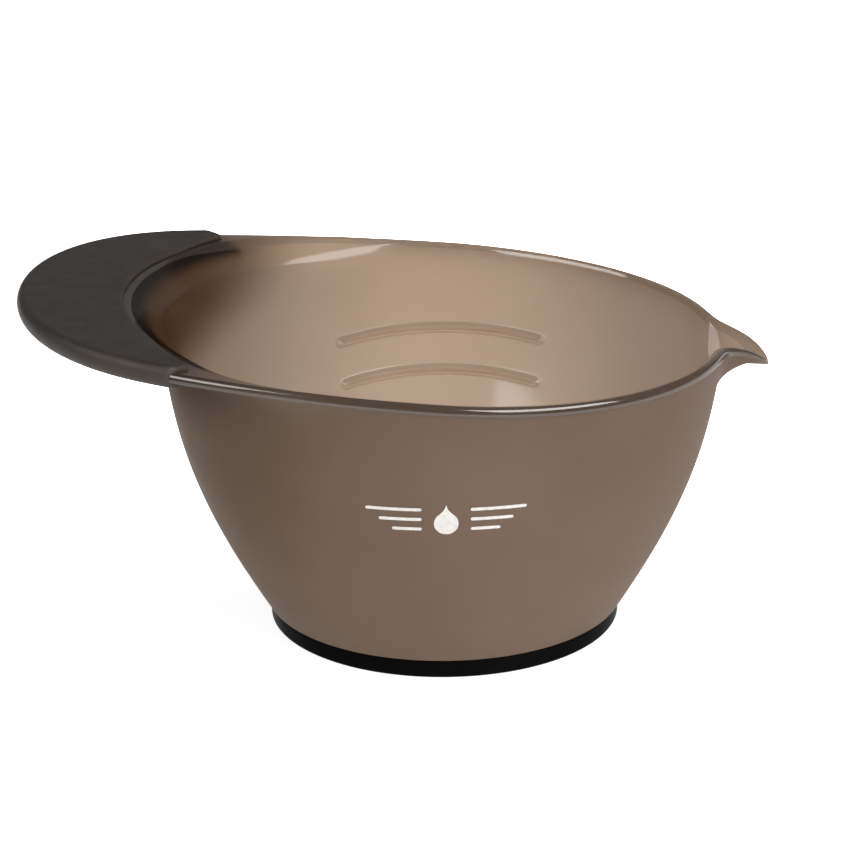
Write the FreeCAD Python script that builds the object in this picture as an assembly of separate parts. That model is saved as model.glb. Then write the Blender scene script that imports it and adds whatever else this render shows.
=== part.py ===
import FreeCAD, Part
import math
import os

# Hair colour bowl: a moulded smoky plastic bowl with a pouring spout on +X, a soft crescent grip
# moulded round a tongue of the rim on -X, a rubber ring on the foot and a pad-printed mark on the front.
# Millimetres, +Z up. The origin is on the bowl's axis, on the surface that it stands on.
# Every surface is worked out on radial sections: a height and a radius for each angle round the axis.

Vec = FreeCAD.Vector

# --- driving dimensions -------------------------------------------------------------------------
RIM_RADIUS = 70.0          # outside of the rim, away from the handle
RIM_HEIGHT = 77.9          # top of the rim at the middle of the bowl
RIM_SLOPE = -0.0768        # the rim climbs towards the handle, in a slightly hollow line
RIM_HOLLOW = 2.03e-4
RIM_TWIST = 0.94e-6
WALL = 2.6                 # wall thickness
BEAD_HEIGHT = 2.2          # height of the thickened rim
BEAD_ROUND = 1.3           # rounding of its outer top edge, inwards
BEAD_ROUND_DEPTH = 1.8     # and downwards
BEAD_CORNER = 0.3          # small rounding of its lower edge
BEAD_STEP = 0.05           # the wall's outside stays at least this far inside that edge

FOOT_HEIGHT = 4.8          # underside of the bowl's base, and top of the rubber ring
FLOOR_HEIGHT = 7.2         # inside floor
FLOOR_CORNER = 9.0         # rounding between the floor and the wall inside
WALL_CURVE = (42.08, 0.6071, -5.576e-5, -7.556e-5, 4.431e-7)   # outside radius: a polynomial of the height

HANDLE_REACH = 103.6       # from the axis to the end of the handle
HANDLE_SHOULDER = (-70.36, 57.06)   # where the rim's flank turns into the handle's nose, in plan
SHOULDER_TURN = 0.40       # direction of the outline there, radians from the X axis
SHOULDER_PULLS = (28.9, 12.19, 22.2, 26.4)          # handle lengths of the two outline curves

MOUTH_FLARE = 10.0         # extra radius of the mouth on the handle's side
MOUTH_FLARE_FROM = 92.0    # angles between which the mouth opens, degrees from the spout
MOUTH_FLARE_TO = 140.0
MOUTH_FLARE_DEPTH = 12.0   # depth below the rim where that flare dies out
MOUTH_FLARE_POWER = 3.0    # how late it opens below the rim
MOUTH_EDGE = 1.3           # rounding of the rim's inner edge, outwards
MOUTH_EDGE_DEPTH = 4.4     # and downwards
MOUTH_EDGE_TIGHT = 0.4     # share of that rounding that is left at the spout and under the grip

SPOUT_REACH = 11.0         # how far the spout stands out beyond the rim
SPOUT_HALF_ANGLE = 6.5     # half its width, in degrees round the axis
SPOUT_POWER = 4.5          # a higher power gives it steeper sides
SPOUT_DROP = 5.9           # how far its lip hangs below the rim
SPOUT_DROP_HALF_ANGLE = 5.3
SPOUT_DIP = 1.3            # wide shallow dip of the rim around it
SPOUT_DIP_HALF_ANGLE = 13.0
SPOUT_DIP_POWER = 4.0
SPOUT_LIP = 1.1            # thickness of the lip at its tip
SPOUT_FROM = 50.0          # height at which the wall starts to turn out
SPOUT_TURN = 6.0           # how late the wall turns out below the lip: a higher power turns later

GRIP_HORN_ANGLE = 136.0    # the crescent ends at this angle on each side
GRIP_ABOVE = 1.5           # top of the grip above the rim
GRIP_BELOW = 3.9           # bottom of the grip below the top of the rim
GRIP_PROUD = 0.3           # the grip's outer edge beyond the rim's outline
GRIP_ROUND = 2.3           # rounding of that edge
GRIP_COVER = 1.7           # rubber thickness at the end of the tongue
GRIP_INSET = 0.7           # rim left bare inside the grip
GRIP_HORN_INSET = 3.1      # the same at the horns, where the grip narrows
GRIP_HORN_BLEND = 16.0     # degrees over which it narrows
GRIP_LIP_ROUND = 0.9       # rounding of its inner edge
GRIP_KEY = 1.4             # depth to which the section's hidden side runs inside the plastic
GRIP_END_ROUND = 0.9       # rounding of the horns' ends
GRIP_END_ANGLE = 1.0       # and the angle that it takes up
GRIP_STEP_ANGLE = 1.0      # the tongue narrows to its covered width over this angle
LOCK_HOLE_RADIUS = 2.5     # holes in the tongue that the rubber flows through and grips
LOCK_HOLE_ORBIT = 90.0
LOCK_HOLE_LENGTH = 20.0
LOCK_HOLE_ANGLES = (150.0, 160.0, 170.0, 180.0, 190.0, 200.0, 210.0)

RIB_HEIGHTS = (55.0, 44.0)           # two level marks inside the back wall, at their middles
RIB_DROP = 2.0                       # how far their ends hang lower
RIB_RADIUS = 1.6                     # radius of a rib's section
RIB_BED = 0.5                        # how far a rib's centre lies behind the wall's face
RIB_MIDDLE_ANGLE = 90.0
RIB_HALF_ANGLE = 25.0                # half of the stretch that a rib takes up, in degrees
RIB_STEPS = 6                        # points of a rib's curve on each side of its middle

RING_RADIUS = 44.3         # rubber foot ring, outside
RING_BORE = 36.0           # and inside
RING_ROUND = 0.8           # rounding of its lower edges
RING_LIP = 3.8             # height of its inner lip
SPIGOT_OUTSIDE = 41.6      # ring under the bowl's base that the rubber ring is pushed on
SPIGOT_INSIDE = 38.8
SPIGOT_BOTTOM = 1.6

MARK_HEIGHT = 49.4         # middle of the printed mark
MARK_INK = 0.12            # thickness of the ink
INK_GAP = 0.01             # hairline between the ink and the wall
MARK_LAYER_ANGLE = 20.0    # the layer that the mark is cut from: half its stretch round the wall
MARK_LAYER_HALF_HEIGHT = 6.0
MARK_LAYER_STEPS = 6
MARK_DROP_WIDTH = 5.6
MARK_DROP_HEIGHT = 8.0
MARK_DROP_TIP = 0.15       # share of the drop's width that its sides still keep near the tip
MARK_BAR_START = 6.0       # from the mark's middle to its bars
MARK_BAR_WIDTH = 0.8
MARK_BAR_PITCH = 2.6
MARK_BARS = (12.0, 9.0, 6.0)

# --- where the sections are taken -----------------------------------------------------------------
SPOUT_ANGLES = [1.0 * step for step in range(15)]              # close together at the spout
FLANK_ANGLES = [15.0 + 3.0 * step for step in range(40)]
HORN_ANGLES = [134.0 + 0.5 * step for step in range(9)]        # and at the ends of the grip
HANDLE_ANGLES = [140.0 + 4.0 * step for step in range(10)]
WALL_HEIGHTS = (FOOT_HEIGHT, 6.5, 9.0, 13.0, 18.0, 24.0, 30.0, 37.0, 44.0, SPOUT_FROM)
WALL_SHARES = (0.15, 0.3, 0.45, 0.58, 0.7, 0.79, 0.86, 0.92, 0.965, 1.0)   # from there up to the rim
INSIDE_DEPTHS = (5.2, 6.5, 8.5, 11.5, 15.0, 20.0)              # below the rim
INSIDE_HEIGHTS = (44.0, 37.0, 30.0, 25.0)                      # above the standing surface
BEAD_CORNER_TURNS = (-90, -45, 0)
BEAD_ROUND_TURNS = (0, 20, 40, 60, 75, 90)
MOUTH_EDGE_TURNS = (90, 75, 60, 40, 20, 0)
FLOOR_CORNER_TURNS = (0, 15, 30, 45, 60, 75, 90)
GRIP_EDGE_TURNS = (90, 65, 40, 15, -10, -35, -60, -90)
GRIP_LIP_ROWS = 3                                              # rows of the grip's section on its inner lip
GRIP_END_STEPS = [0.0, 0.1, 0.3, 0.6, 1.0, 1.6, 2.5]           # degrees from a horn's end
GRIP_STEPS = [4.0 + 2.0 * step for step in range(41)]
ON_PLANE = 1e-6            # a point this near a plane counts as on it
BISECTIONS = 40


# --- shape of the bowl, angle by angle ----------------------------------------------------------
def smooth(value):
    """0 below 0, 1 above 1, and an even S-curve between them."""
    value = max(0.0, min(1.0, value))
    return value * value * (3.0 - 2.0 * value)


def bump(angle, half_angle, power):
    """1 at angle 0, falling to a half at half_angle and then to nothing."""
    return 1.0 / (1.0 + abs(angle / half_angle) ** power)


def bezier(points, t):
    """Point at t on a cubic curve of four control points in plan."""
    weights = ((1 - t) ** 3, 3 * t * (1 - t) ** 2, 3 * t * t * (1 - t), t ** 3)
    x = sum(w * p[0] for w, p in zip(weights, points))
    y = sum(w * p[1] for w, p in zip(weights, points))
    return x, y


def outline_curves():
    """The handle's half of the rim's outline in plan: the flank, then the nose."""
    x, y = HANDLE_SHOULDER
    along = (math.cos(SHOULDER_TURN), math.sin(SHOULDER_TURN))
    start, before, after, nose = SHOULDER_PULLS
    flank = ((0, RIM_RADIUS), (-start, RIM_RADIUS), (x + before * along[0], y + before * along[1]), (x, y))
    tip = ((x, y), (x - after * along[0], y - after * along[1]), (-HANDLE_REACH, nose), (-HANDLE_REACH, 0))
    return flank, tip


def outline_radius(angle):
    """Radius of the rim's plain outline at an angle in degrees, without the spout."""
    turn = abs(angle)
    if turn <= 90.0:
        return RIM_RADIUS
    flank, tip = outline_curves()
    shoulder_angle = math.degrees(math.atan2(HANDLE_SHOULDER[1], HANDLE_SHOULDER[0]))
    curve = flank if turn < shoulder_angle else tip
    low, high = 0.0, 1.0
    for _ in range(BISECTIONS):
        middle = (low + high) / 2
        x, y = bezier(curve, middle)
        if math.degrees(math.atan2(y, x)) < turn:
            low = middle
        else:
            high = middle
    return math.hypot(*bezier(curve, high))


def plane_height(radius, angle):
    """Height of the rim's sloping top at a radius and an angle, without the spout."""
    x = radius * math.cos(math.radians(angle))
    return RIM_HEIGHT + RIM_SLOPE * x + RIM_HOLLOW * x ** 2 + RIM_TWIST * x ** 3


def spout_share(angle):
    return bump(angle, SPOUT_HALF_ANGLE, SPOUT_POWER)


def top_height(radius, angle):
    """Height of the rim's top, with the spout's droop."""
    drop = SPOUT_DIP * bump(angle, SPOUT_DIP_HALF_ANGLE, SPOUT_DIP_POWER)
    drop += SPOUT_DROP * bump(angle, SPOUT_DROP_HALF_ANGLE, SPOUT_POWER)
    return plane_height(radius, angle) - drop


def rim_radius(angle):
    return outline_radius(angle) + SPOUT_REACH * spout_share(angle)


def tongue_radius(angle):
    """Outer edge of the plastic: the rim, and under the grip a tongue set in from it."""
    under = smooth((abs(angle) - GRIP_HORN_ANGLE) / GRIP_STEP_ANGLE)
    return rim_radius(angle) - (GRIP_COVER - GRIP_PROUD) * under


def bead_height(angle):
    """The rim's bead thins out to the lip of the spout."""
    return BEAD_HEIGHT - (BEAD_HEIGHT - SPOUT_LIP) * spout_share(angle)


def wall_radius(height):
    """Outside radius of the plain round wall."""
    return sum(factor * height ** power for power, factor in enumerate(WALL_CURVE))


def wall_slope(height):
    return sum(power * factor * height ** (power - 1) for power, factor in enumerate(WALL_CURVE) if power)


def mouth_flare(angle):
    span = MOUTH_FLARE_TO - MOUTH_FLARE_FROM
    return MOUTH_FLARE * smooth((abs(angle) - MOUTH_FLARE_FROM) / span)


def outer_radius(height, angle):
    """Outside of the wall: round below, turned out to the handle and to the spout at the top."""
    top = top_height(RIM_RADIUS, angle)
    depth = max(0.0, top - height)
    flare = mouth_flare(angle) * max(0.0, 1.0 - depth / MOUTH_FLARE_DEPTH) ** MOUTH_FLARE_POWER
    rise = max(0.0, (height - SPOUT_FROM) / (top - SPOUT_FROM))
    return wall_radius(height) + flare + SPOUT_REACH * spout_share(angle) * min(1.0, rise) ** SPOUT_TURN


def inner_radius(height, angle):
    """Inside of the wall: the outside less the wall, which thins to the lip of the spout."""
    rise = max(0.0, (height - SPOUT_FROM) / (top_height(RIM_RADIUS, angle) - SPOUT_FROM))
    thinning = (WALL - SPOUT_LIP) * spout_share(angle) * min(1.0, rise) ** SPOUT_TURN
    thickness = WALL * math.hypot(1.0, wall_slope(height))
    return outer_radius(height, angle) - thickness + thinning


# --- surfaces -----------------------------------------------------------------------------------
def point(radius, angle, height):
    turn = math.radians(angle)
    return Vec(radius * math.cos(turn), radius * math.sin(turn), height)


def section_angles():
    """Angles of the sections round the bowl, the same on both sides."""
    half = SPOUT_ANGLES + FLANK_ANGLES + HORN_ANGLES + HANDLE_ANGLES
    return half + [180.0] + [360.0 - angle for angle in reversed(half[1:])]


ANGLES = section_angles()


def signed(angle):
    return angle - 360.0 if angle > 180.0 else angle


def ring(radius_at, height_at):
    """A closed row of points round the axis; both functions take the angle from the spout."""
    return [point(radius_at(signed(a)), a, height_at(signed(a))) for a in ANGLES]


def spline(points, parameters, periodic):
    curve = Part.BSplineCurve()
    curve.interpolate(Points=points, PeriodicFlag=periodic, Parameters=parameters)
    return curve


def skin(rows, closed=True):
    """A smooth face through rows of points. Rows that two faces share give exactly the same edge."""
    if closed:
        turns = [angle / 360.0 for angle in ANGLES] + [1.0]
    else:
        turns = [index / (len(rows[0]) - 1) for index in range(len(rows[0]))]
    curves = [spline(row, turns, closed) for row in rows]
    steps = [0.0]
    for low, high in zip(rows, rows[1:]):
        gap = sum(p.distanceToPoint(q) for p, q in zip(low, high)) / len(low)
        steps.append(steps[-1] + gap)
    columns = [spline(list(poles), steps, False) for poles in zip(*[c.getPoles() for c in curves])]
    surface = Part.BSplineSurface()
    surface.buildFromPolesMultsKnots(
        [c.getPoles() for c in columns],
        curves[0].getMultiplicities(),
        columns[0].getMultiplicities(),
        curves[0].getKnots(),
        columns[0].getKnots(),
        closed,
        False,
        curves[0].Degree,
        columns[0].Degree,
    )
    if not closed:
        return [surface.toShape()]
    last = steps[-1]
    return [surface.toShape(quarter / 4, (quarter + 1) / 4, 0.0, last) for quarter in range(4)]


def flat_cap(row):
    turns = [a / 360.0 for a in ANGLES] + [1.0]
    curve = spline(row, turns, True)
    edges = [curve.toShape(quarter / 4, (quarter + 1) / 4) for quarter in range(4)]
    return [Part.Face(Part.Wire(edges))]


def closed_solid(skins):
    shell = Part.makeShell([face for faces in skins for face in faces])
    shell.sewShape()
    solid = Part.makeSolid(shell)
    if solid.Volume < 0:
        solid.reverse()
    return solid


# --- the bowl -----------------------------------------------------------------------------------
def underside(angle):
    return top_height(tongue_radius(angle), angle) - bead_height(angle)


def root_height(angle):
    """Where the wall's outside meets the underside of the bead or the tongue."""
    return top_height(outer_radius(underside(angle), angle), angle) - bead_height(angle)


def root_radius(angle, height):
    """The wall's outside, kept just within the bead all the way round."""
    return min(outer_radius(height, angle), tongue_radius(angle) - BEAD_CORNER - BEAD_STEP)


def outer_rows():
    rows = []
    for height in WALL_HEIGHTS:
        rows.append(ring(lambda a: wall_radius(height), lambda a: height))
    for share in WALL_SHARES:
        def height_at(a):
            return SPOUT_FROM + share * (root_height(a) - SPOUT_FROM)
        rows.append(ring(lambda a: root_radius(a, height_at(a)), height_at))
    return rows


def edge_share(angle):
    """The rim's roundings are full size, but tighter in the thin lip of the spout."""
    return 1.0 - (1.0 - MOUTH_EDGE_TIGHT) * spout_share(angle)


def bead_row(out, down):
    """Row of points at a distance in from the rim's outer edge and a depth below its top."""
    def radius_at(a):
        return tongue_radius(a) - out * edge_share(a)

    def height_at(a):
        return top_height(radius_at(a), a) - down * bead_height(a) / BEAD_HEIGHT
    return ring(radius_at, height_at)


def bead_rows():
    """The small lower corner of the bead, then its large rounding up to the rim's top."""
    corner = []
    for turn in BEAD_CORNER_TURNS:
        across = math.cos(math.radians(turn))
        up = 1 + math.sin(math.radians(turn))
        corner.append(bead_row(BEAD_CORNER * (1 - across), BEAD_HEIGHT - BEAD_CORNER * up))
    rounding = []
    for turn in BEAD_ROUND_TURNS:
        across = math.cos(math.radians(turn))
        up = math.sin(math.radians(turn))
        rounding.append(bead_row(BEAD_ROUND * (1 - across), BEAD_ROUND_DEPTH * (1 - up)))
    return corner, rounding


def mouth_radius(angle):
    """Inside of the wall carried straight on up to the rim's top."""
    return inner_radius(top_height(RIM_RADIUS, angle), angle)


def mouth_edge_share(angle):
    """The inner edge is rounded less at the spout and under the grip."""
    covered = smooth((abs(angle) - GRIP_HORN_ANGLE) / GRIP_HORN_BLEND)
    return 1.0 - (1.0 - MOUTH_EDGE_TIGHT) * max(spout_share(angle), covered)


def inside_row(depth_at, out_at):
    """Row of points inside the bowl: a depth below the rim, and a distance out from the wall's face."""
    def radius_at(a):
        return inner_radius(top_height(RIM_RADIUS, a) - depth_at(a), a) + out_at(a)
    return ring(radius_at, lambda a: top_height(radius_at(a), a) - depth_at(a))


def mouth_edge_rows():
    rows = []
    for turn in MOUTH_EDGE_TURNS:
        out = MOUTH_EDGE * (1 - math.cos(math.radians(turn)))
        down = MOUTH_EDGE_DEPTH * (1 - math.sin(math.radians(turn)))
        rows.append(inside_row(lambda a: down * mouth_edge_share(a), lambda a: out * mouth_edge_share(a)))
    return rows


def inner_rows():
    rows = mouth_edge_rows()
    for depth in INSIDE_DEPTHS:
        rows.append(inside_row(lambda a: depth, lambda a: 0.0))
    for height in INSIDE_HEIGHTS:
        rows.append(ring(lambda a: inner_radius(height, a), lambda a: height))
    for turn in FLOOR_CORNER_TURNS:
        height = FLOOR_HEIGHT + FLOOR_CORNER * (1 - math.sin(math.radians(turn)))
        in_by = FLOOR_CORNER * (1 - math.cos(math.radians(turn)))
        rows.append(ring(lambda a: inner_radius(height, a) - in_by, lambda a: height))
    return rows


def level_rib(height):
    """A raised level mark: a round bar half let into the back wall, bowed down to its ball ends."""
    centres = []
    for step in range(-RIB_STEPS, RIB_STEPS + 1):
        share = step / RIB_STEPS
        angle = RIB_MIDDLE_ANGLE + RIB_HALF_ANGLE * share
        level = height - RIB_DROP * share ** 2
        centres.append(point(inner_radius(level, angle) + RIB_BED, angle, level))
    curve = Part.BSplineCurve()
    curve.interpolate(centres)
    start = curve.FirstParameter
    section = Part.Wire(Part.makeCircle(RIB_RADIUS, curve.value(start), curve.tangent(start)[0]))
    bar = Part.Wire(curve.toShape()).makePipeShell([section], True, True)
    balls = [Part.makeSphere(RIB_RADIUS, centre) for centre in (centres[0], centres[-1])]
    return bar.fuse(balls)


def tube(outside, inside, bottom, top):
    axis = Vec(0, 0, 1)
    outer = Part.makeCylinder(outside, top - bottom, Vec(0, 0, bottom), axis)
    return outer.cut(Part.makeCylinder(inside, top - bottom, Vec(0, 0, bottom), axis))


def lock_hole(angle):
    return Part.makeCylinder(LOCK_HOLE_RADIUS, LOCK_HOLE_LENGTH, point(LOCK_HOLE_ORBIT, angle, RIM_HEIGHT))


def bowl_shell():
    outer = outer_rows()
    corner, rounding = bead_rows()
    inner = inner_rows()
    skins = [
        flat_cap(outer[0]),
        skin(outer),
        skin([outer[-1], corner[0]]),
        skin(corner),
        skin([corner[-1], rounding[0]]),
        skin(rounding),
        skin([rounding[-1], inner[0]]),
        skin(inner),
        flat_cap(inner[-1]),
    ]
    body = closed_solid(skins)
    spigot = tube(SPIGOT_OUTSIDE, SPIGOT_INSIDE, SPIGOT_BOTTOM, FOOT_HEIGHT)
    ribs = [level_rib(height) for height in RIB_HEIGHTS]
    holes = [lock_hole(angle) for angle in LOCK_HOLE_ANGLES]
    return body.fuse([spigot]).fuse(ribs).cut(holes).Solids[0]


# --- the grip -----------------------------------------------------------------------------------
def horn_rounding(angle):
    """1 at the very end of a horn, falling to 0 along a quarter round."""
    along = min(1.0, (abs(angle) - GRIP_HORN_ANGLE) / GRIP_END_ANGLE)
    return 1.0 - math.sqrt(max(0.0, 1.0 - (1.0 - along) ** 2))


def grip_section(angle):
    """Corners of the grip's section: distance from the axis, and height from the rim's sloping plane."""
    widening = smooth((abs(angle) - GRIP_HORN_ANGLE) / GRIP_HORN_BLEND)
    bare = GRIP_HORN_INSET + (GRIP_INSET - GRIP_HORN_INSET) * widening
    end = GRIP_END_ROUND * horn_rounding(angle)
    inside = mouth_radius(angle) + bare + end
    outside = outline_radius(angle) + GRIP_PROUD - end
    above = GRIP_ABOVE - end
    rows = []
    for step in range(GRIP_LIP_ROWS):
        a = math.pi / 2 * step / (GRIP_LIP_ROWS - 1)
        rows.append((inside + GRIP_LIP_ROUND * (1 - math.cos(a)), above - GRIP_LIP_ROUND * (1 - math.sin(a))))
    middle = (above - GRIP_BELOW) / 2
    half = (above + GRIP_BELOW) / 2
    for turn in GRIP_EDGE_TURNS:
        a = math.radians(turn)
        rows.append((outside - GRIP_ROUND * (1 - math.cos(a)), middle + half * math.sin(a)))
    rim = plane_height(inside, angle)
    rows.append((outer_radius(rim - GRIP_BELOW, angle) - WALL / 2, -GRIP_BELOW))
    rows.append((outer_radius(rim - GRIP_KEY, angle) - WALL / 2, -GRIP_KEY))
    rows.append((inside, -GRIP_KEY / 2))
    return rows


def grip_row(index, angles):
    row = []
    for angle in angles:
        radius, lift = grip_section(signed(angle))[index]
        row.append(point(radius, angle, plane_height(radius, angle) + lift))
    return row


def end_cap(faces, angle):
    """The flat end of a horn, bounded by the edges of the faces that reach it."""
    across = Vec(-math.sin(math.radians(angle)), math.cos(math.radians(angle)), 0)
    edges = []
    for face in faces:
        for edge in face.Edges:
            ends = [edge.valueAt(edge.FirstParameter), edge.valueAt(edge.LastParameter)]
            if max(abs(end.dot(across)) for end in ends) < ON_PLANE:
                edges.append(edge)
    return Part.Face(Part.Wire(Part.__sortEdges__(edges)))


def handle_grip(shell):
    """The section carried round from horn to horn, with the tongue of the bowl cut out of it."""
    span = 360.0 - 2 * GRIP_HORN_ANGLE
    steps = GRIP_END_STEPS + GRIP_STEPS + [span - step for step in reversed(GRIP_END_STEPS)]
    angles = [GRIP_HORN_ANGLE + step for step in steps]
    rows = [grip_row(index, angles) for index in range(len(grip_section(180.0)))]
    top = GRIP_LIP_ROWS
    low = top + len(GRIP_EDGE_TURNS)
    strips = [rows[:top], rows[top - 1:top + 1], rows[top:low]]
    strips += [rows[index:index + 2] for index in range(low - 1, len(rows) - 1)]
    strips.append([rows[-1], rows[0]])
    skins = [skin(strip, closed=False) for strip in strips]
    faces = [face for strip in skins for face in strip]
    caps = [end_cap(faces, angle) for angle in (GRIP_HORN_ANGLE, 360.0 - GRIP_HORN_ANGLE)]
    return closed_solid(skins + [caps]).cut(shell).Solids[0]


# --- the foot and the mark ----------------------------------------------------------------------
def foot_ring():
    """Rubber ring of U section, pushed up on the spigot under the bowl's base."""
    r = RING_ROUND
    diagonal = r * (1 - math.sqrt(0.5))
    low_inside = Vec(RING_BORE + r, 0, 0)
    low_outside = Vec(RING_RADIUS - r, 0, 0)
    inner_arc = Part.Arc(Vec(RING_BORE, 0, r), Vec(RING_BORE + diagonal, 0, diagonal), low_inside)
    outer_arc = Part.Arc(low_outside, Vec(RING_RADIUS - diagonal, 0, diagonal), Vec(RING_RADIUS, 0, r))
    corners = [
        (RING_RADIUS, r),
        (RING_RADIUS, FOOT_HEIGHT),
        (SPIGOT_OUTSIDE, FOOT_HEIGHT),
        (SPIGOT_OUTSIDE, SPIGOT_BOTTOM),
        (SPIGOT_INSIDE, SPIGOT_BOTTOM),
        (SPIGOT_INSIDE, RING_LIP),
        (RING_BORE, RING_LIP),
        (RING_BORE, r),
    ]
    sides = [Part.LineSegment(Vec(a, 0, b), Vec(c, 0, d)) for (a, b), (c, d) in zip(corners, corners[1:])]
    bottom = Part.LineSegment(low_inside, low_outside)
    edges = [side.toShape() for side in sides + [inner_arc, bottom, outer_arc]]
    profile = Part.Face(Part.Wire(Part.__sortEdges__(edges)))
    return profile.revolve(Vec(0, 0, 0), Vec(0, 0, 1), 360)


def ink_layer():
    """A thin layer over the front of the wall, from which the mark is cut."""
    pitch = 2 * MARK_LAYER_HALF_HEIGHT / MARK_LAYER_STEPS
    low_end = MARK_HEIGHT - MARK_LAYER_HALF_HEIGHT
    heights = [low_end + pitch * step for step in range(MARK_LAYER_STEPS + 1)]
    near = spline([Vec(wall_radius(h) + INK_GAP, 0, h) for h in heights], heights, False)
    far = spline([Vec(wall_radius(h) + INK_GAP + MARK_INK, 0, h) for h in heights], heights, False)
    low = Part.LineSegment(near.StartPoint, far.StartPoint)
    high = Part.LineSegment(near.EndPoint, far.EndPoint)
    edges = [curve.toShape() for curve in (near, far, low, high)]
    profile = Part.Face(Part.Wire(Part.__sortEdges__(edges)))
    profile.rotate(Vec(0, 0, 0), Vec(0, 0, 1), -90 - MARK_LAYER_ANGLE)
    return profile.revolve(Vec(0, 0, 0), Vec(0, 0, 1), 2 * MARK_LAYER_ANGLE)


def drop_outline(width, height):
    """A dye drop standing on its round end, centred on the mark."""
    r = width / 2
    tip = Vec(0, 0, MARK_HEIGHT + height / 2)
    centre = MARK_HEIGHT - height / 2 + r
    left = Vec(-r, 0, centre)
    right = Vec(r, 0, centre)
    bowl = Part.Arc(left, Vec(0, 0, centre - r), right)
    sides = []
    for start in (left, right):
        curve = Part.BezierCurve()
        near_tip = Vec(start.x * MARK_DROP_TIP, 0, tip.z - r)
        curve.setPoles([start, Vec(start.x, 0, centre + r), near_tip, tip])
        sides.append(curve)
    return Part.Wire(Part.__sortEdges__([curve.toShape() for curve in sides + [bowl]]))


def bar_outline(start, length, width, height):
    """A rounded bar beside the drop, from start outwards."""
    r = width / 2
    side = 1 if start > 0 else -1
    end = start + side * length
    a = Part.LineSegment(Vec(start, 0, height + r), Vec(end, 0, height + r))
    b = Part.Arc(Vec(end, 0, height + r), Vec(end + side * r, 0, height), Vec(end, 0, height - r))
    c = Part.LineSegment(Vec(end, 0, height - r), Vec(start, 0, height - r))
    d = Part.Arc(Vec(start, 0, height - r), Vec(start - side * r, 0, height), Vec(start, 0, height + r))
    return Part.Wire([curve.toShape() for curve in (a, b, c, d)])


def front_mark():
    """A plain printed ornament: a drop between bars that shorten downwards."""
    outlines = [drop_outline(MARK_DROP_WIDTH, MARK_DROP_HEIGHT)]
    for side in (-1, 1):
        for step, length in enumerate(MARK_BARS):
            height = MARK_HEIGHT + MARK_BAR_PITCH * (1 - step)
            outlines.append(bar_outline(side * MARK_BAR_START, length, MARK_BAR_WIDTH, height))
    layer = ink_layer()
    pieces = []
    for outline in outlines:
        prism = Part.Face(outline).extrude(Vec(0, -2 * RIM_RADIUS, 0))
        pieces.extend(layer.common(prism).Solids)
    return Part.makeCompound(pieces)


def main():
    os.makedirs("parts", exist_ok=True)
    shell = bowl_shell()
    nodes = {
        "bowl_shell": shell,
        "handle_grip": handle_grip(shell),
        "foot_ring": foot_ring(),
        "front_mark": front_mark(),
    }
    for name, shape in nodes.items():
        shape.exportStep(f"parts/{name}.step")
        print(name, shape.isValid(), len(shape.Solids), "solids", round(shape.Volume), "mm3", shape.BoundBox)


main()
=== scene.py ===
import math

import bpy
from mathutils import Matrix, Vector


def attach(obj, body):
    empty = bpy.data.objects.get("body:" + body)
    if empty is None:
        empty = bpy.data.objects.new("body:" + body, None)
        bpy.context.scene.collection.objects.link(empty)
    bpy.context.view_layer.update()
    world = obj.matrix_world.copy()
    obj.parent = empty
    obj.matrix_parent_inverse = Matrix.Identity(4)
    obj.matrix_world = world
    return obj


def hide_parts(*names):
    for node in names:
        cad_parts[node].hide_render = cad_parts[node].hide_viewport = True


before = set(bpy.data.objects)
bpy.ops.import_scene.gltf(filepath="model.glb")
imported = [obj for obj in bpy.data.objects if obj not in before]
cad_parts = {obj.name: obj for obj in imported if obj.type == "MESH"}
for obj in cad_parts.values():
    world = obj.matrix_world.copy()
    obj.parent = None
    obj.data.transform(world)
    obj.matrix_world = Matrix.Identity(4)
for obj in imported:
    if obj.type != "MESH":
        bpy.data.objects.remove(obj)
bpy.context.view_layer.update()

# Hair colour bowl: the looks. The bowl, its grip and its foot ring are rebuilt as clean meshes on the same
# radial sections as the CAD solids; the printed mark keeps its CAD mesh. Shapes are worked out in
# millimetres, with a height and a radius for each angle round the axis, and turned into metres at the end.

MM = 0.001

# --- sizes shared with the CAD model, millimetres and degrees -------------------------------------
RIM_RADIUS = 70.0
RIM_HEIGHT = 77.9          # top of the rim over the bowl's axis; it slopes and curves along X
RIM_SLOPE = -0.0768
RIM_HOLLOW = 2.03e-4
RIM_TWIST = 0.94e-6
WALL = 2.6
BEAD_HEIGHT = 2.2          # the thick edge round the outside of the rim
BEAD_ROUND = 1.3
BEAD_ROUND_DEPTH = 1.8
BEAD_CORNER = 0.3
BEAD_STEP = 0.05
FOOT_HEIGHT = 4.8          # underside of the base, and top of the foot ring
FOOT_CORNER = 0.3
FLOOR_HEIGHT = 7.2
FLOOR_CORNER = 9.0
WALL_CURVE = (42.08, 0.6071, -5.576e-5, -7.556e-5, 4.431e-7)   # outside radius, a polynomial of the height
HANDLE_REACH = 103.6
HANDLE_SHOULDER = (-70.36, 57.06)
SHOULDER_TURN = 0.40       # radians
SHOULDER_PULLS = (28.9, 12.19, 22.2, 26.4)
MOUTH_FLARE = 10.0         # the mouth opens towards the handle
MOUTH_FLARE_FROM = 92.0
MOUTH_FLARE_TO = 140.0
MOUTH_FLARE_DEPTH = 12.0
MOUTH_FLARE_POWER = 3.0
MOUTH_EDGE = 1.3           # rounding of the rim's inner edge
MOUTH_EDGE_DEPTH = 4.4
MOUTH_EDGE_TIGHT = 0.4
SPOUT_REACH = 11.0
SPOUT_HALF_ANGLE = 6.5
SPOUT_POWER = 4.5
SPOUT_DROP = 5.9
SPOUT_DROP_HALF_ANGLE = 5.3
SPOUT_DIP = 1.3
SPOUT_DIP_HALF_ANGLE = 13.0
SPOUT_DIP_POWER = 4.0
SPOUT_LIP = 1.1
SPOUT_FROM = 50.0
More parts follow.
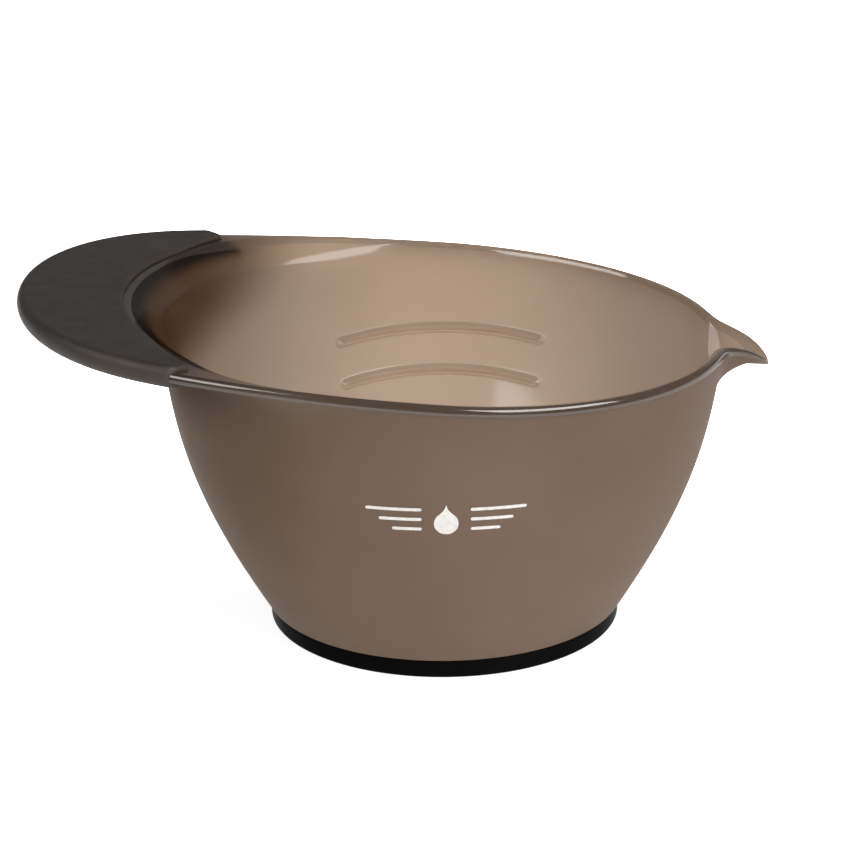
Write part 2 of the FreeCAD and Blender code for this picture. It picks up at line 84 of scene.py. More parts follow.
SPOUT_TURN = 6.0
GRIP_HORN_ANGLE = 136.0    # the crescent's two ends
GRIP_ABOVE = 1.5
GRIP_BELOW = 3.9
GRIP_PROUD = 0.3
GRIP_ROUND = 2.3
GRIP_COVER = 1.7
GRIP_INSET = 0.7
GRIP_HORN_INSET = 3.1
GRIP_HORN_BLEND = 16.0
GRIP_LIP_ROUND = 0.9
GRIP_END_ROUND = 0.9
GRIP_END_ANGLE = 1.0
GRIP_STEP_ANGLE = 1.0
RIB_HEIGHTS = (55.0, 44.0)
RIB_DROP = 2.0
RIB_MIDDLE_ANGLE = 90.0
RIB_HALF_ANGLE = 25.0
RIB_RADIUS = 1.6
RIB_BED = 0.5
RING_RADIUS = 44.3
RING_BORE = 36.0
RING_ROUND = 0.8
RING_LIP = 3.8
SPIGOT_OUTSIDE = 41.6
SPIGOT_INSIDE = 38.8
SPIGOT_BOTTOM = 1.6
BISECTIONS = 40

# --- sizes of the visual model only, millimetres ----------------------------------------------------
FIT_GAP = 0.03             # hairline between the rubber pieces and the plastic
SPIGOT_CORNER = 0.25
RIB_FILLET = 0.4
RIB_CORE = 0.75            # a rib's light middle, either side of its middle line
RIB_EDGE = math.sqrt(RIB_RADIUS ** 2 - RIB_BED ** 2)    # half the width at which a rib meets the wall
INNER_STEPS = (0.2, 0.6, 1.2)      # rows just below the rim's rounded inner edge
ABOVE_RIBS = 57.0          # height of the row above the ribs


# --- shape of the bowl, angle by angle ------------------------------------------------------------
def smooth(value):
    value = max(0.0, min(1.0, value))
    return value * value * (3.0 - 2.0 * value)


def bump(angle, half_angle, power):
    return 1.0 / (1.0 + abs(angle / half_angle) ** power)


def bezier(points, t):
    weights = ((1 - t) ** 3, 3 * t * (1 - t) ** 2, 3 * t * t * (1 - t), t ** 3)
    x = sum(w * p[0] for w, p in zip(weights, points))
    y = sum(w * p[1] for w, p in zip(weights, points))
    return x, y


def handle_outline():
    """The handle's half of the rim's outline in plan: the flank, then the nose."""
    x, y = HANDLE_SHOULDER
    along = (math.cos(SHOULDER_TURN), math.sin(SHOULDER_TURN))
    start, before, after, nose = SHOULDER_PULLS
    flank = ((0, RIM_RADIUS), (-start, RIM_RADIUS), (x + before * along[0], y + before * along[1]), (x, y))
    tip = ((x, y), (x - after * along[0], y - after * along[1]), (-HANDLE_REACH, nose), (-HANDLE_REACH, 0))
    return flank, tip


def outline_radius(angle):
    turn = abs(angle)
    if turn <= 90.0:
        return RIM_RADIUS
    flank, tip = handle_outline()
    shoulder_angle = math.degrees(math.atan2(HANDLE_SHOULDER[1], HANDLE_SHOULDER[0]))
    curve = flank if turn < shoulder_angle else tip
    low, high = 0.0, 1.0
    for _ in range(BISECTIONS):
        middle = (low + high) / 2
        x, y = bezier(curve, middle)
        if math.degrees(math.atan2(y, x)) < turn:
            low = middle
        else:
            high = middle
    return math.hypot(*bezier(curve, high))


def plane_height(radius, angle):
    x = radius * math.cos(math.radians(angle))
    return RIM_HEIGHT + RIM_SLOPE * x + RIM_HOLLOW * x ** 2 + RIM_TWIST * x ** 3


def spout_share(angle):
    return bump(angle, SPOUT_HALF_ANGLE, SPOUT_POWER)


def top_height(radius, angle):
    drop = SPOUT_DIP * bump(angle, SPOUT_DIP_HALF_ANGLE, SPOUT_DIP_POWER)
    drop += SPOUT_DROP * bump(angle, SPOUT_DROP_HALF_ANGLE, SPOUT_POWER)
    return plane_height(radius, angle) - drop


def wall_radius(height):
    return sum(factor * height ** power for power, factor in enumerate(WALL_CURVE))


def wall_slope(height):
    return sum(power * factor * height ** (power - 1) for power, factor in enumerate(WALL_CURVE) if power)


class Section:
    """The bowl's radial section at one angle: every radius and height that the rows below ask for."""

    def __init__(self, angle):
        self.angle = angle
        self.spout = spout_share(angle)
        self.outline = outline_radius(angle)
        self.rim = self.outline + SPOUT_REACH * self.spout
        under_grip = smooth((abs(angle) - GRIP_HORN_ANGLE) / GRIP_STEP_ANGLE)
        self.tongue = self.rim - (GRIP_COVER - GRIP_PROUD) * under_grip
        self.bead = BEAD_HEIGHT - (BEAD_HEIGHT - SPOUT_LIP) * self.spout
        span = MOUTH_FLARE_TO - MOUTH_FLARE_FROM
        self.flare = MOUTH_FLARE * smooth((abs(angle) - MOUTH_FLARE_FROM) / span)
        self.top70 = top_height(RIM_RADIUS, angle)
        self.mouth = self.inner(self.top70)
        self.edge = 1.0 - (1.0 - MOUTH_EDGE_TIGHT) * self.spout
        covered = smooth((abs(angle) - GRIP_HORN_ANGLE) / GRIP_HORN_BLEND)
        self.mouth_edge = 1.0 - (1.0 - MOUTH_EDGE_TIGHT) * max(self.spout, covered)
        underside = self.top(self.tongue) - self.bead
        self.root_height = self.top(self.outer(underside)) - self.bead

    def top(self, radius):
        return top_height(radius, self.angle)

    def late_rise(self, height):
        rise = max(0.0, (height - SPOUT_FROM) / (self.top70 - SPOUT_FROM))
        return self.spout * min(1.0, rise) ** SPOUT_TURN

    def outer(self, height):
        """Outside of the wall: round below, turned out to the handle and to the spout at the top."""
        depth = max(0.0, self.top70 - height)
        flare = self.flare * max(0.0, 1.0 - depth / MOUTH_FLARE_DEPTH) ** MOUTH_FLARE_POWER
        return wall_radius(height) + flare + SPOUT_REACH * self.late_rise(height)

    def inner(self, height):
        thinning = (WALL - SPOUT_LIP) * self.late_rise(height)
        return self.outer(height) - WALL * math.hypot(1.0, wall_slope(height)) + thinning

    def root(self, height):
        return min(self.outer(height), self.tongue - BEAD_CORNER - BEAD_STEP)


# --- rows of points round the bowl ----------------------------------------------------------------
def spread(start, end, step):
    """Even steps upwards from start, without the end."""
    count = round((end - start) / step)
    return [start + (end - start) * index / count for index in range(count)]


def bowl_angles():
    """Close together at the spout, at the ribs' ends and at the grip's horns, wider elsewhere."""
    half = spread(0, 14, 0.5) + spread(14, 60, 2) + spread(60, 70, 0.5) + spread(70, 110, 2)
    half += spread(110, 120, 0.5) + spread(120, 134, 2) + spread(134, 139, 0.25) + spread(139, 180, 2)
    return half + [180.0] + [-angle for angle in reversed(half[1:])]


SECTIONS = [Section(angle) for angle in bowl_angles()]


def place(radius, angle, height):
    turn = math.radians(angle)
    return (radius * math.cos(turn) * MM, radius * math.sin(turn) * MM, height * MM)


def row(at):
    """One closed row: at(section) gives a radius and a height."""
    return [place(at(s)[0], s.angle, at(s)[1]) for s in SECTIONS]


def round_row(radius, height):
    return row(lambda s: (radius, height))


def rib_drop(section):
    """How far the ribs have bowed down at this angle."""
    return RIB_DROP * min(1.0, abs(section.angle - RIB_MIDDLE_ANGLE) / RIB_HALF_ANGLE) ** 2


def rib_distance(section, height, radius):
    """From the middle line of the nearest rib, along the wall."""
    past = math.radians(abs(section.angle - RIB_MIDDLE_ANGLE) - RIB_HALF_ANGLE) * radius
    level = height + rib_drop(section)
    return min(math.hypot(level - rib, max(0.0, past)) for rib in RIB_HEIGHTS)


def rib_rise(section, height, radius):
    """How far a level rib stands in from the wall: a round bar half let in, with ball ends and a fillet."""
    away = rib_distance(section, height, radius)
    bar = math.sqrt(max(0.0, RIB_RADIUS ** 2 - away ** 2)) - RIB_BED
    foot = RIB_EDGE + RIB_FILLET - away
    fillet = RIB_FILLET * max(0.0, foot / (2 * RIB_FILLET)) ** 2
    return max(bar, fillet) if foot > 0 else 0.0


def turns(start, end, count):
    return [math.radians(start + (end - start) * index / (count - 1)) for index in range(count)]


def underside_rows():
    """From the middle of the base, down round the spigot and out to the foot's corner."""
    soft = SPIGOT_CORNER
    middle = (3, 12, 24, 34, SPIGOT_INSIDE - 2 * soft, SPIGOT_INSIDE - soft)
    profile = [(radius, FOOT_HEIGHT) for radius in middle]
    profile += [(SPIGOT_INSIDE, FOOT_HEIGHT - soft), (SPIGOT_INSIDE, SPIGOT_BOTTOM + soft)]
    profile += [(SPIGOT_INSIDE + soft, SPIGOT_BOTTOM), (SPIGOT_OUTSIDE - soft, SPIGOT_BOTTOM)]
    profile += [(SPIGOT_OUTSIDE, SPIGOT_BOTTOM + soft), (SPIGOT_OUTSIDE, FOOT_HEIGHT - soft)]
    profile.append((SPIGOT_OUTSIDE + soft, FOOT_HEIGHT))
    return [round_row(radius, height) for radius, height in profile]


def foot_rows():
    """The outer part of the base's underside, and its rounded corner."""
    flat = 1.5
    rows = [round_row(wall_radius(FOOT_HEIGHT) - flat, FOOT_HEIGHT)]
    for turn in turns(90, 0, 5):
        height = FOOT_HEIGHT + FOOT_CORNER * (1 - math.sin(turn))
        rows.append(round_row(wall_radius(height) - FOOT_CORNER * (1 - math.cos(turn)), height))
    return rows


def wall_rows():
    """Up the outside: level rows on the round part, then rows that follow the rim up to the bead."""
    rows = [row(lambda s: (wall_radius(height), height)) for height in spread(5.6, SPOUT_FROM, 1.8)]
    shares = spread(0, 0.9, 0.06) + [0.9, 0.94, 0.965, 0.98, 0.99, 0.996, 1.0]
    for share in shares:
        def at(s):
            height = SPOUT_FROM + share * (s.root_height - SPOUT_FROM)
            return s.root(height), height
        rows.append(row(at))
    return rows


def bead_row(out, down):
    def at(s):
        radius = s.tongue - out * s.edge
        return radius, s.top(radius) - down * s.bead / BEAD_HEIGHT
    return row(at)


def bead_rows():
    """The bead's small lower corner, its side, and the large rounding up to the rim's top."""
    rows = []
    for turn in turns(-90, 0, 5):
        down = BEAD_HEIGHT - BEAD_CORNER * (1 + math.sin(turn))
        rows.append(bead_row(BEAD_CORNER * (1 - math.cos(turn)), down))
    for turn in turns(5, 90, 11):
        rows.append(bead_row(BEAD_ROUND * (1 - math.cos(turn)), BEAD_ROUND_DEPTH * (1 - math.sin(turn))))
    return rows


def inside_at(section, depth, out):
    radius = section.inner(section.top70 - depth) + out
    return radius, section.top(radius) - depth


def mouth_rows():
    """The rim's flat top and the soft rounding of its inner edge."""
    rows = []
    for turn in turns(90, 0, 13):
        down = MOUTH_EDGE_DEPTH * (1 - math.sin(turn))
        out = MOUTH_EDGE * (1 - math.cos(turn))
        rows.append(row(lambda s: inside_at(s, down * s.mouth_edge, out * s.mouth_edge)))
    return rows


def inside_rows():
    """Down the inner wall, past the level ribs, round the floor's corner and in to its middle. The wall
    runs straight from the rim's edge to just above the ribs, between them, and on to the floor's corner."""
    rows = []
    for step in INNER_STEPS:
        rows.append(row(lambda s: inside_at(s, MOUTH_EDGE_DEPTH + step, 0.0)))
    rows.append(row(lambda s: (s.inner(ABOVE_RIBS + s.top70 - s.top(s.mouth)), ABOVE_RIBS)))
    edge = RIB_EDGE + RIB_FILLET
    near_rib = [edge * math.sin(turn) for turn in turns(90, -90, 25)]
    for height in [rib + away for rib in RIB_HEIGHTS for away in near_rib]:
        def at_rib(s):
            level = height - rib_drop(s)
            return s.inner(level) - rib_rise(s, level, s.mouth), level
        rows.append(row(at_rib))
    for turn in turns(0, 90, 13):
        height = FLOOR_HEIGHT + FLOOR_CORNER * (1 - math.sin(turn))
        rows.append(row(lambda s: (s.inner(height) - FLOOR_CORNER * (1 - math.cos(turn)), height)))
    rows += [round_row(r, FLOOR_HEIGHT) for r in (26, 18, 10, 3)]
    return rows


# --- meshes ---------------------------------------------------------------------------------------
def mesh_object(name, points, faces, face_slots, materials):
    mesh = bpy.data.meshes.new(name)
    mesh.from_pydata(points, [], faces)
    for material in materials:
        mesh.materials.append(material)
    mesh.polygons.foreach_set("material_index", face_slots)
    mesh.polygons.foreach_set("use_smooth", [True] * len(faces))
    mesh.validate()
    piece = bpy.data.objects.new(name, mesh)
    bpy.context.scene.collection.objects.link(piece)
    return piece


def skin(rows, closed_rows=False):
    """Quads between closed rows, wound so that they face away from the material."""
    width = len(rows[0])
    count = len(rows)
    faces = []
    for low in range(count if closed_rows else count - 1):
        high = (low + 1) % count
        for left in range(width):
            right = (left + 1) % width
            below, above = low * width, high * width
            faces.append((below + left, below + right, above + right, above + left))
    return [point for line in rows for point in line], faces


SATIN, BEAD, TOP, GLOSSY, RIB_FLANK = range(5)         # the bowl's material slots


def bowl_slot(band, low, high, section):
    """Which material a face of the bowl takes: satin outside, bead, rim's top, gloss inside, or rib."""
    if band != GLOSSY:
        return band
    middle = (low[2] + high[2]) / 2 / MM
    away = rib_distance(section, middle, section.mouth)
    # A rib's sloping flanks take the darker rib plastic: painted shade along its edges.
    return RIB_FLANK if RIB_CORE < away < RIB_EDGE else GLOSSY


def make_bowl(materials):
    """One closed skin: from the middle of the base out, up, over the rim, and down to the inside floor."""
    bead = bead_rows()
    mouth = mouth_rows()
    half = len(mouth) // 2
    bands = (
        underside_rows() + foot_rows() + wall_rows(),
        bead[:-1],
        bead[-1:] + mouth[:half],
        mouth[half:] + inside_rows(),
    )
    rows = [line for band in bands for line in band]
    band_of = [number for number, band in enumerate(bands) for _ in band]
    points, faces = skin(rows)
    width = len(rows[0])
    slots = []
    for index in range(len(rows) - 1):
        for left, section in enumerate(SECTIONS):
            slots.append(bowl_slot(band_of[index], rows[index][left], rows[index + 1][left], section))
    points += [place(0, 0, FOOT_HEIGHT), place(0, 0, FLOOR_HEIGHT)]
    below, floor = len(points) - 2, len(points) - 1
    last = (len(rows) - 1) * width
    for left in range(width):
        right = (left + 1) % width
        faces += [(below, right, left), (floor, last + left, last + right)]
        slots += [SATIN, GLOSSY]
    return mesh_object("bowl", points, faces, slots, materials)


def horn_rounding(angle):
    """1 at the very end of a horn, falling to 0 along a quarter round."""
    along = min(1.0, (abs(angle) - GRIP_HORN_ANGLE) / GRIP_END_ANGLE)
    return 1.0 - math.sqrt(max(0.0, 1.0 - (1.0 - along) ** 2))


def grip_section(section):
    """The grip's C-shaped section: distance from the axis, and height from the rim's sloping plane."""
    angle = section.angle
    widening = smooth((abs(angle) - GRIP_HORN_ANGLE) / GRIP_HORN_BLEND)
    end = GRIP_END_ROUND * horn_rounding(angle)
    inside = section.mouth + GRIP_HORN_INSET + (GRIP_INSET - GRIP_HORN_INSET) * widening + end
    outside = section.outline + GRIP_PROUD - end
    above = GRIP_ABOVE - end
    middle = (above - GRIP_BELOW) / 2
    half = (above + GRIP_BELOW) / 2
    tongue = min(section.tongue, outside - GRIP_COVER / 2) + FIT_GAP
    wall = section.outer(plane_height(inside, angle) - GRIP_BELOW) + FIT_GAP
    lines = [(inside, FIT_GAP)]
    for turn in turns(0, 90, 7):
        lift = above - GRIP_LIP_ROUND * (1 - math.sin(turn))
        lines.append((inside + GRIP_LIP_ROUND * (1 - math.cos(turn)), lift))
    start = inside + GRIP_LIP_ROUND
    length = outside - GRIP_ROUND - start
    lines += [(start + length * share, above) for share in (0.03, 0.35, 0.65, 0.97)]
    for turn in turns(90, -90, 19):
        lines.append((outside - GRIP_ROUND * (1 - math.cos(turn)), middle + half * math.sin(turn)))
    reach = outside - GRIP_ROUND - wall
    lines += [(wall + reach * share, -GRIP_BELOW) for share in (0.97, 0.5, 0.03, 0.0)]
    under_bead = -BEAD_HEIGHT - FIT_GAP
    lines.append((wall, under_bead))
    for turn in turns(-90, 0, 4):
        lift = under_bead + BEAD_CORNER * (1 + math.sin(turn))
        lines.append((tongue - BEAD_CORNER * (1 - math.cos(turn)), lift))
    for turn in turns(0, 90, 7):
        lift = FIT_GAP - BEAD_ROUND_DEPTH * (1 - math.sin(turn))
        lines.append((tongue - BEAD_ROUND * (1 - math.cos(turn)), lift))
    return lines


def make_grip(material):
    """The crescent: its section swept from one horn to the other, close together at the rounded ends."""
    near = [0.0, 0.04, 0.1, 0.18, 0.28, 0.4, 0.55, 0.75, 1.0, 1.3, 1.7, 2.2]
    after = 3.0
    span = 360.0 - 2 * GRIP_HORN_ANGLE
    steps = near + spread(after, span - after, 1.0) + [span - after]
    steps += [span - step for step in reversed(near)]
    points = []
    for step in steps:
        angle = GRIP_HORN_ANGLE + step
        section = Section(angle - 360.0 if angle > 180.0 else angle)
        for radius, lift in grip_section(section):
            points.append(place(radius, section.angle, plane_height(radius, section.angle) + lift))
    width = len(points) // len(steps)
    faces = []
    for low in range(0, (len(steps) - 1) * width, width):
        high = low + width
        for left in range(width):
            right = (left + 1) % width
            faces.append((low + left, low + right, high + right, high + left))
    last = (len(steps) - 1) * width
    faces += [tuple(reversed(range(width))), tuple(range(last, last + width))]
    return mesh_object("grip", points, faces, [0] * len(faces), [material])


def ring_profile():
    """The foot ring's U section, from the outer top edge down, in, and round the spigot's groove."""
    r = RING_ROUND
    top = FOOT_HEIGHT - FIT_GAP
    outer, shoulder, lip, soft = 0.25, 0.07, 0.3, 0.2      # how far the small corners are cut back
    points = [(RING_RADIUS - outer, top), (RING_RADIUS - shoulder, top - shoulder)]
    points += [(RING_RADIUS, top - outer), (RING_RADIUS, 3.4), (RING_RADIUS, 2.2)]
    for turn in turns(0, -90, 7):
        points.append((RING_RADIUS - r * (1 - math.cos(turn)), r * (1 + math.sin(turn))))
    points += [(RING_RADIUS - 1.5 * r, 0.0), (RING_BORE + 1.5 * r, 0.0)]
    for turn in turns(-90, -180, 7):
        points.append((RING_BORE + r * (1 + math.cos(turn)), r * (1 + math.sin(turn))))
    points += [(RING_BORE, RING_LIP - lip), (RING_BORE + lip, RING_LIP)]
    inner, outside_wall, bottom = SPIGOT_INSIDE - FIT_GAP, SPIGOT_OUTSIDE + FIT_GAP, SPIGOT_BOTTOM - FIT_GAP
    points += [(inner - soft, RING_LIP), (inner, RING_LIP - soft)]
    points += [(inner, bottom + soft), (inner + soft, bottom)]
    points += [(outside_wall - soft, bottom), (outside_wall, bottom + soft)]
    points += [(outside_wall, top - soft), (outside_wall + soft, top)]
    return points


def make_ring(material):
    angles = list(reversed(spread(0, 360, 1.5)))
    rows = [[place(radius, angle, height) for angle in angles] for radius, height in ring_profile()]
    points, faces = skin(rows, closed_rows=True)
    return mesh_object("foot", points, faces, [0] * len(faces), [material])


# --- materials ------------------------------------------------------------------------------------
def new_material(name):
    material = bpy.data.materials.new(name)
    material.use_nodes = True
    nodes = material.node_tree.nodes
    return material, nodes, material.node_tree.links, nodes["Principled BSDF"]


def noise(nodes, links, scale, detail=3.0, roughness=0.5):
    """Noise fixed to the piece, in object space; scale is in features per metre."""
    coords = nodes.new("ShaderNodeTexCoord")
    texture = nodes.new("ShaderNodeTexNoise")
    texture.inputs["Scale"].default_value = scale
    texture.inputs["Detail"].default_value = detail
    texture.inputs["Roughness"].default_value = roughness
    links.new(coords.outputs["Object"], texture.inputs["Vector"])
    return texture.outputs["Fac"]


def between(nodes, links, value, low, high, low_in=0.3, high_in=0.7):
    """Spreads a noise value over a range."""
    node = nodes.new("ShaderNodeMapRange")
    node.inputs["From Min"].default_value = low_in
    node.inputs["From Max"].default_value = high_in
    node.inputs["To Min"].default_value = low
    node.inputs["To Max"].default_value = high
    links.new(value, node.inputs["Value"])
    return node.outputs["Result"]


def tint(nodes, links, value, dark, light):
    """A colour between two, by a noise value. dark is a colour, or the output of another node."""
    node = nodes.new("ShaderNodeMix")
    node.data_type = "RGBA"
    if isinstance(dark, tuple):
        node.inputs["A"].default_value = (*dark, 1)
    else:
        links.new(dark, node.inputs["A"])
    node.inputs["B"].default_value = (*light, 1)
    links.new(value, node.inputs["Factor"])
    return node.outputs["Result"]


def add_bump(nodes, links, height, distance, onto=None):
    node = nodes.new("ShaderNodeBump")
    node.inputs["Distance"].default_value = distance
    links.new(height, node.inputs["Height"])
    if onto is not None:
        links.new(onto, node.inputs["Normal"])
    return node.outputs["Normal"]


def ramp(nodes, links, value, start, end):
    """0 at start, 1 at end, with soft ends."""
    node = nodes.new("ShaderNodeMapRange")
    node.interpolation_type = "SMOOTHSTEP"
    node.inputs["From Min"].default_value = start
    node.inputs["From Max"].default_value = end
    links.new(value, node.inputs["Value"])
    return node.outputs["Result"]


def arithmetic(nodes, links, operation, *values):
    node = nodes.new("ShaderNodeMath")
    node.operation = operation
    for socket, value in zip(node.inputs, values):
        if isinstance(value, float):
            socket.default_value = value
        else:
            links.new(value, socket)
    return node.outputs["Value"]


def along_axes(nodes, links):
    """The piece's own X, Y and Z."""
    coords = nodes.new("ShaderNodeTexCoord")
    axes = nodes.new("ShaderNodeSeparateXYZ")
    links.new(coords.outputs["Object"], axes.inputs["Vector"])
    return axes.outputs


def painted_root_shade(nodes, links):
    """Painted shade: 1 under the handle's root, where the handle shades the wall, fading down the wall and
    round to the sides.
    """
    axes = along_axes(nodes, links)
    slanted = arithmetic(nodes, links, "MULTIPLY_ADD", axes["X"], -ROOT_SLANT, axes["Z"])
    up = ramp(nodes, links, slanted, ROOT_LOW, ROOT_HIGH)
    along = ramp(nodes, links, axes["X"], ROOT_NEAR, ROOT_FAR)
    return arithmetic(nodes, links, "MULTIPLY", up, along)


def painted_handle_shade(nodes, links):
    """Painted shade: 0 at the middle of the bowl, 1 on the side of the handle, where the handle shades the
    wall.
    """
    return ramp(nodes, links, along_axes(nodes, links)["X"], SHADE_NEAR, SHADE_FAR)


def plastic(name, body, glow, share, gloss, roughness, grain, kept_in_shade=1.0):
    """Smoky translucent plastic: a surface that reflects, mixed with one that passes light on.
    body and glow are (dark, light) colour pairs for the two, and share is the second one's part.
    gloss is the first one's (IOR, specular level). grain is (features per metre, depth in metres).
    The last argument is how much of the body's colour is left in the painted shade on the side of the handle."""
    material, nodes, links, surface = new_material(name)
    cloud = between(nodes, links, noise(nodes, links, CLOUD_SCALE, 4.0), 0.0, 1.0)
    # Painted shade: the body's colour darkens towards the handle's side, where the handle shades the wall.
    shaded_body = tuple(kept_in_shade * part for part in body[0])
    colour = tint(nodes, links, painted_handle_shade(nodes, links), tint(nodes, links, cloud, *body), shaded_body)
    links.new(colour, surface.inputs["Base Color"])
    patches = noise(nodes, links, PATCH_SCALE, 5.0, 0.6)
    links.new(between(nodes, links, patches, *roughness), surface.inputs["Roughness"])
    surface.inputs["IOR"].default_value = gloss[0]
    surface.inputs["Specular IOR Level"].default_value = gloss[1]
    fine = add_bump(nodes, links, noise(nodes, links, grain[0], 2.0), grain[1])
    waves = add_bump(nodes, links, noise(nodes, links, WAVE_SCALE, 2.0), WAVE_DEPTH, onto=fine)
    links.new(waves, surface.inputs["Normal"])
    passing = nodes.new("ShaderNodeBsdfTranslucent")
    clear = tint(nodes, links, cloud, *glow)
    # Painted shade: the light passed through turns darker under the handle's root, where the handle shades
    # the wall.
    links.new(tint(nodes, links, painted_root_shade(nodes, links), clear, ROOT_SHADE_GLOW), passing.inputs["Color"])
    mix = nodes.new("ShaderNodeMixShader")
    mix.inputs["Fac"].default_value = share
    links.new(surface.outputs["BSDF"], mix.inputs[1])
    links.new(passing.outputs["BSDF"], mix.inputs[2])
    links.new(mix.outputs["Shader"], nodes["Material Output"].inputs["Surface"])
    return material


def rubber(name, colours, gloss, roughness, grain):
    """Rubber: nearly black, with a fine grain and slightly uneven gloss."""
    material, nodes, links, surface = new_material(name)
    cloud = between(nodes, links, noise(nodes, links, 60.0, 5.0, 0.6), 0.0, 1.0)
    links.new(tint(nodes, links, cloud, *colours), surface.inputs["Base Color"])
    links.new(between(nodes, links, noise(nodes, links, 180.0, 4.0), *roughness), surface.inputs["Roughness"])
    surface.inputs["IOR"].default_value = gloss[0]
    surface.inputs["Specular IOR Level"].default_value = gloss[1]
    fine = add_bump(nodes, links, noise(nodes, links, grain[0], 3.0, 0.6), grain[1])
    uneven = add_bump(nodes, links, noise(nodes, links, 70.0, 2.0), 0.00002, onto=fine)
    links.new(uneven, surface.inputs["Normal"])
    return material


def ink():
    """Pad-printed ink: matte off-white, slightly uneven in cover and edge."""
    material, nodes, links, surface = new_material("mark_ink")
    cover = between(nodes, links, noise(nodes, links, 900.0, 4.0, 0.6), 0.0, 1.0)
    links.new(tint(nodes, links, cover, *INK), surface.inputs["Base Color"])
    links.new(between(nodes, links, noise(nodes, links, 1500.0), 0.45, 0.6), surface.inputs["Roughness"])
    links.new(add_bump(nodes, links, noise(nodes, links, 5000.0), 0.00001), surface.inputs["Normal"])
    return material


# --- the looks: (dark, light) colour pairs, (lowest, highest) roughness, and places in metres -------
BODY = ((0.045, 0.034, 0.026), (0.055, 0.041, 0.031))
GLOW = ((0.93, 0.77, 0.63), (0.97, 0.82, 0.67))
SATIN_BODY = ((0.125, 0.092, 0.071), (0.145, 0.107, 0.083))
SATIN_GLOW = ((0.88, 0.79, 0.71), (0.93, 0.835, 0.765))
EDGE_BODY = ((0.13, 0.1, 0.08), (0.15, 0.115, 0.09))
DARK_BODY = ((0.035, 0.023, 0.016), (0.043, 0.029, 0.021))
GRIP_BLACK = ((0.046, 0.037, 0.031), (0.06, 0.049, 0.041))
FOOT_BLACK = ((0.002, 0.002, 0.002), (0.004, 0.0038, 0.0035))
INK = ((0.55, 0.53, 0.5), (0.7, 0.68, 0.65))
POLISHED = (0.08, 0.14)
FINE = (2500.0, 0.000002)  # grain: features per metre, and depth in metres
SATIN_FINISH = (0.42, 0.5)
SATIN_GRAIN = (3500.0, 0.00001)
CLOUD_SCALE = 28.0         # features per metre of the plastic's colour, gloss and surface waves
PATCH_SCALE = 90.0
WAVE_SCALE = 45.0
WAVE_DEPTH = 0.00006
ROOT_SHADE_GLOW = (0.42, 0.3, 0.215)     # painted shade: the darker light let through the wall under the handle, where the handle shades it
ROOT_SLANT = 0.5           # how the lower bound of that region rises towards the handle,
ROOT_LOW = 0.086           # the height, raised by the slant, where it starts and is full,
ROOT_HIGH = 0.107
ROOT_NEAR = -0.02          # and the same along X
ROOT_FAR = -0.07
SHADE_NEAR = -0.015         # along X, where the painted shade under the handle starts on the outside, and is darkest
SHADE_FAR = -0.07

# On the outside, the painted shade takes the body's colour to black beside the handle.
outside = plastic("smoky_satin", SATIN_BODY, SATIN_GLOW, 0.36, (1.15, 0.5), SATIN_FINISH, SATIN_GRAIN, 0.0)
bead = plastic("smoky_bead", DARK_BODY, GLOW, 0.2, (1.7, 0.8), POLISHED, FINE)
edge = plastic("smoky_edge", EDGE_BODY, GLOW, 0.62, (1.9, 1.0), (0.05, 0.1), FINE)
inside = plastic("smoky_gloss", BODY, GLOW, 0.84, (1.9, 1.0), POLISHED, FINE)
# The ribs' flanks: a darker, less translucent copy of the inside plastic, painted shade along both edges of
# each rib.
rib_shade = plastic("smoky_rib", BODY, GLOW, 0.66, (1.9, 0.6), POLISHED, FINE)
soft = rubber("soft_grip", GRIP_BLACK, (1.5, 0.2), (0.42, 0.52), (4000.0, 0.00004))
black = rubber("foot_rubber", FOOT_BLACK, (1.2, 0.05), (0.3, 0.4), (2500.0, 0.00001))


# --- the pieces -----------------------------------------------------------------------------------
bowl = make_bowl([outside, bead, edge, inside, rib_shade])
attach(bowl, "root")
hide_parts("bowl_shell")

grip = make_grip(soft)
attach(grip, "root")
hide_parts("handle_grip")

foot = make_ring(black)
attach(foot, "root")
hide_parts("foot_ring")

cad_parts["front_mark"].material_slots[0].material = ink()


# --- studio: floor, light and camera ---------------------------------------------------------------
def make_floor():
    """White and softly glowing, brighter behind the bowl, so that light comes through its back wall."""
    size = 4.0                 # metres
    glow_everywhere = 0.92
    glow_behind = 4.5
    mesh = bpy.data.meshes.new("floor")
    corners = [(-size, -size, 0), (size, -size, 0), (size, size, 0), (-size, size, 0)]
    mesh.from_pydata(corners, [], [(0, 1, 2, 3)])
    floor = bpy.data.objects.new("floor", mesh)
    bpy.context.scene.collection.objects.link(floor)
    material, nodes, links, surface = new_material("floor_white")
    surface.inputs["Base Color"].default_value = (0.3, 0.3, 0.3, 1)
    surface.inputs["Roughness"].default_value = 0.8
    surface.inputs["Specular IOR Level"].default_value = 0.2
    surface.inputs["Emission Color"].default_value = (1, 1, 1, 1)
    axes = along_axes(nodes, links)
    behind = ramp(nodes, links, axes["Y"], 0.0, 0.25)
    sideways = arithmetic(nodes, links, "ABSOLUTE", axes["X"])
    patch = arithmetic(nodes, links, "MULTIPLY", behind, ramp(nodes, links, sideways, 0.17, 0.05))
    glow = between(nodes, links, patch, glow_everywhere, glow_behind, 0.0, 1.0)
    links.new(glow, surface.inputs["Emission Strength"])
    mesh.materials.append(material)


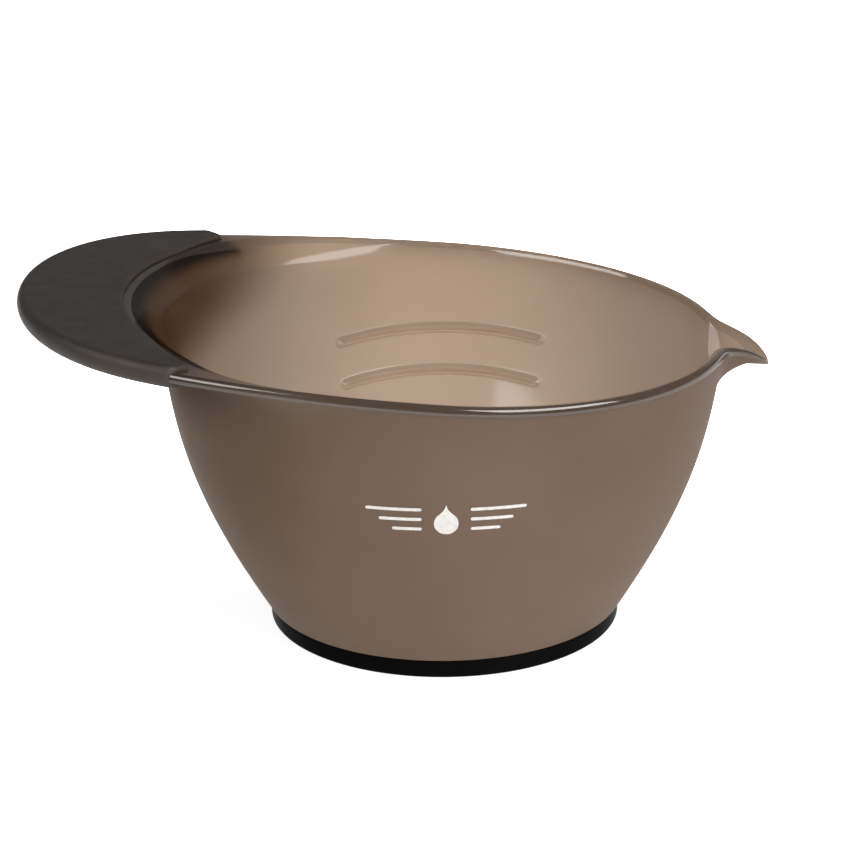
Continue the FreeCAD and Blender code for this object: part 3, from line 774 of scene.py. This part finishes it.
def make_light(name, turn, rise, distance, size, power):
    """A softbox aimed at the bowl. turn is its direction from -Y towards +X, and rise its elevation."""
    target = Vector((0, 0, 0.045))
    across = math.cos(math.radians(rise)) * distance
    offset = (across * math.sin(math.radians(turn)), -across * math.cos(math.radians(turn)))
    place_at = target + Vector((*offset, math.sin(math.radians(rise)) * distance))
    data = bpy.data.lights.new(name, "AREA")
    data.shape = "RECTANGLE"
    data.size, data.size_y = size
    data.energy = power
    light = bpy.data.objects.new(name, data)
    light.location = place_at
    light.rotation_euler = (target - place_at).to_track_quat("-Z", "Y").to_euler()
    bpy.context.scene.collection.objects.link(light)
    return light


def make_world(strength):
    world = bpy.data.worlds.new("studio")
    world.use_nodes = True
    background = world.node_tree.nodes["Background"]
    background.inputs["Color"].default_value = (1, 1, 1, 1)
    background.inputs["Strength"].default_value = strength
    bpy.context.scene.world = world


def make_camera():
    """A long lens a little above the rim, turned slightly about its own axis."""
    distance = 667.3           # millimetres, and the turns in radians
    tilt = 0.3364
    roll = 0.0114
    target = Vector((-5.37, 0, 50.21))
    forward = Vector((0, math.cos(tilt), -math.sin(tilt)))
    side = Vector((1, 0, 0))
    up = Vector((0, math.sin(tilt), math.cos(tilt)))
    turned_side = math.cos(roll) * side - math.sin(roll) * up
    turned_up = math.sin(roll) * side + math.cos(roll) * up
    data = bpy.data.cameras.new("camera")
    data.sensor_width = 36.0
    data.lens = 113.64
    data.clip_start = 0.01
    data.clip_end = 20.0
    camera = bpy.data.objects.new("camera", data)
    rotation = Matrix((turned_side, turned_up, -forward)).transposed().to_4x4()
    camera.matrix_world = Matrix.Translation((target - distance * forward) * MM) @ rotation
    bpy.context.scene.collection.objects.link(camera)
    bpy.context.scene.camera = camera


make_floor()
make_world(0.12)
# The strips show only in reflections, and the softboxes only light the bowl.
make_light("strip_left", -60, 38, 1.1, (1.2, 0.5), 8).visible_diffuse = False
make_light("strip_right", 52, 44, 1.1, (0.95, 0.5), 9).visible_diffuse = False
make_light("softbox_right", 40, 42, 1.1, (0.95, 0.5), 6.5).visible_glossy = False
make_light("softbox_front", 22, 4, 1.1, (0.6, 0.5), 9).visible_glossy = False
make_light("strip_back", 180, 19, 1.3, (2.0, 0.5), 0.8).visible_diffuse = False
make_camera()
bpy.context.scene.view_settings.view_transform = "Standard"
